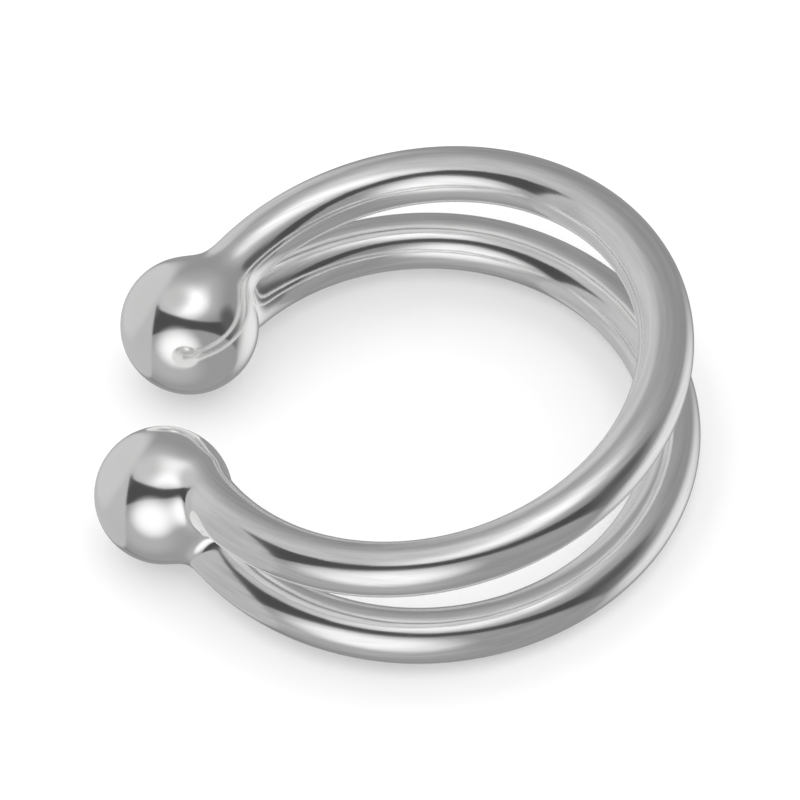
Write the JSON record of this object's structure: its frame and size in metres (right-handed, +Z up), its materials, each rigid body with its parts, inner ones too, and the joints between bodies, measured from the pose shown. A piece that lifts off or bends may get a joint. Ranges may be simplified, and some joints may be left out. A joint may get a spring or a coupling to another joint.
{
  "type": "ear cuff",
  "caption": "Open oval ear cuff of polished silver: spread round wires that meet in a ball at each side of the gap, laid on its side.",
  "frame": {"origin": "middle of the plan of the cuff as it lies on its side, at the height of the surface it lies on", "axes": "+Z up, along the opening that the ear's edge goes through, leaning 3 degrees; -X through the gap between the balls; +Y to the left when looking along +X"},
  "size_m": [0.0122, 0.0122, 0.0038],
  "materials": {
    "polished_silver": "mirror polished silver"
  },
  "bodies": {
    "root": {"ear_cuff": "polished_silver"}
  },
  "joints": []
}
